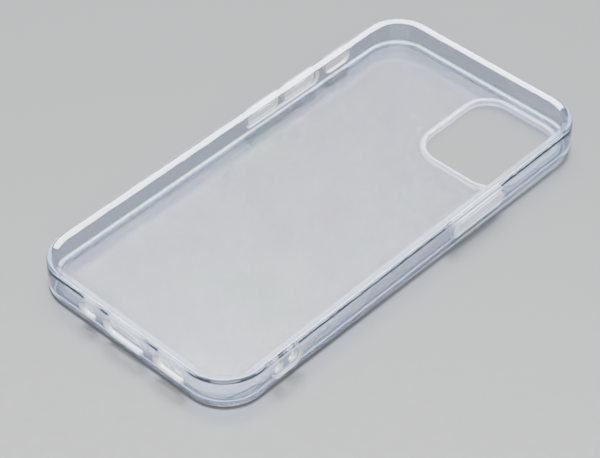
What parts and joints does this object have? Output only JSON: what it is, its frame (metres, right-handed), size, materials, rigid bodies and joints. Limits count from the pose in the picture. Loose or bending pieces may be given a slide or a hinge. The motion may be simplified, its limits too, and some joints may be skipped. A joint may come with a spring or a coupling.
{
  "type": "phone case",
  "caption": "Slim clear protective case for a 6.1-inch-class phone: soft frame with a raised lip, hard clear back, guarded camera opening and pressable button caps.",
  "frame": {"origin": "centre of the case's outline at the level of the camera guard's foot, the lowest point when the case lies on its back", "axes": "+Z out of the open side, towards the user; +Y towards the camera end; +X towards the power button's wall"},
  "size_m": [0.0754, 0.1498, 0.0106],
  "materials": {
    "soft_clear": "clear soft plastic, polished, with a faint blue cast",
    "hard_clear": "clear hard plastic with a fine micro-dot texture on its inner face",
    "soft_clear_rim": "clear soft plastic, polished, thicker and so brighter"
  },
  "bodies": {
    "shell": {"back_panel": "hard_clear", "bumper_frame": "soft_clear", "camera_guard": "soft_clear_rim", "power_web": "soft_clear", "volume_up_web": "soft_clear", "volume_down_web": "soft_clear"},
    "power_key": {"power_button": "soft_clear_rim"},
    "volume_up_key": {"volume_up_button": "soft_clear_rim"},
    "volume_down_key": {"volume_down_button": "soft_clear_rim"}
  },
  "joints": [
    {"name": "power_press", "type": "slide", "parent": "shell", "child": "power_key", "axis": [-1, 0, 0], "range_m": [0, 0.0004], "stiffness_N_per_m": 1500, "deforming": ["power_web"]},
    {"name": "volume_up_press", "type": "slide", "parent": "shell", "child": "volume_up_key", "axis": [1, 0, 0], "range_m": [0, 0.0004], "stiffness_N_per_m": 1500, "deforming": ["volume_up_web"]},
    {"name": "volume_down_press", "type": "slide", "parent": "shell", "child": "volume_down_key", "axis": [1, 0, 0], "range_m": [0, 0.0004], "stiffness_N_per_m": 1500, "deforming": ["volume_down_web"]}
  ]
}
